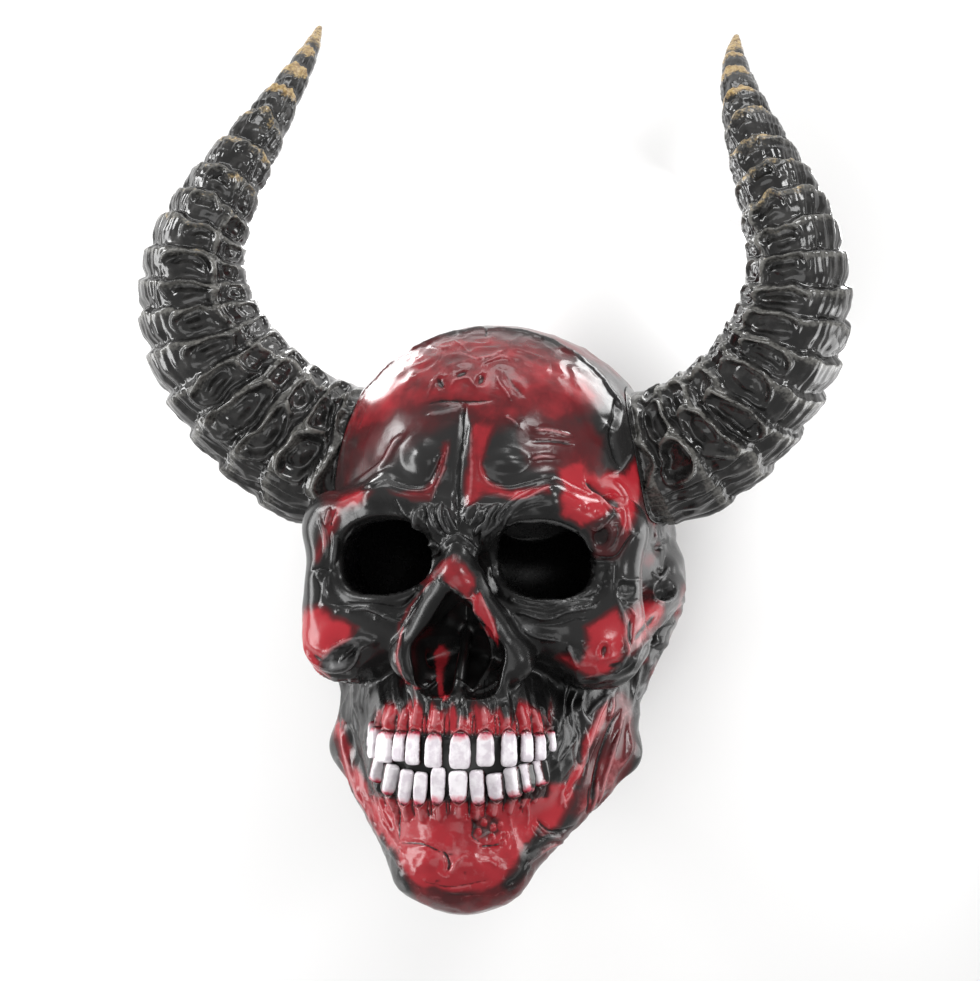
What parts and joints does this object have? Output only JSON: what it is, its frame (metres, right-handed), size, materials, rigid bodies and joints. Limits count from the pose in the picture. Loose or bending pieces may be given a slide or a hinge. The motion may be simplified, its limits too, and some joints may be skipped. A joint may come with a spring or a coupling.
{
  "type": "horned demon skull mask",
  "caption": "Full-head demon skull mask of moulded rubber with bared teeth, open eye holes and neck, and two ringed horns; it lies face up on a flat spot at the back of the head.",
  "frame": {"origin": "under the middle of the whole mask's box, on the surface that it lies on", "axes": "+X towards the wearer's left, +Y from the chin to the crown and along the horns, +Z out of the face, up"},
  "size_m": [0.4116, 0.5052, 0.2281],
  "materials": {
    "painted_latex_shell": "glossy latex airbrushed crimson and black, with white teeth",
    "painted_latex_horn": "glossy black latex with gold brushed tips"
  },
  "bodies": {
    "root": {"skull_mask": "painted_latex_shell", "left_horn": "painted_latex_horn", "right_horn": "painted_latex_horn"}
  },
  "joints": []
}
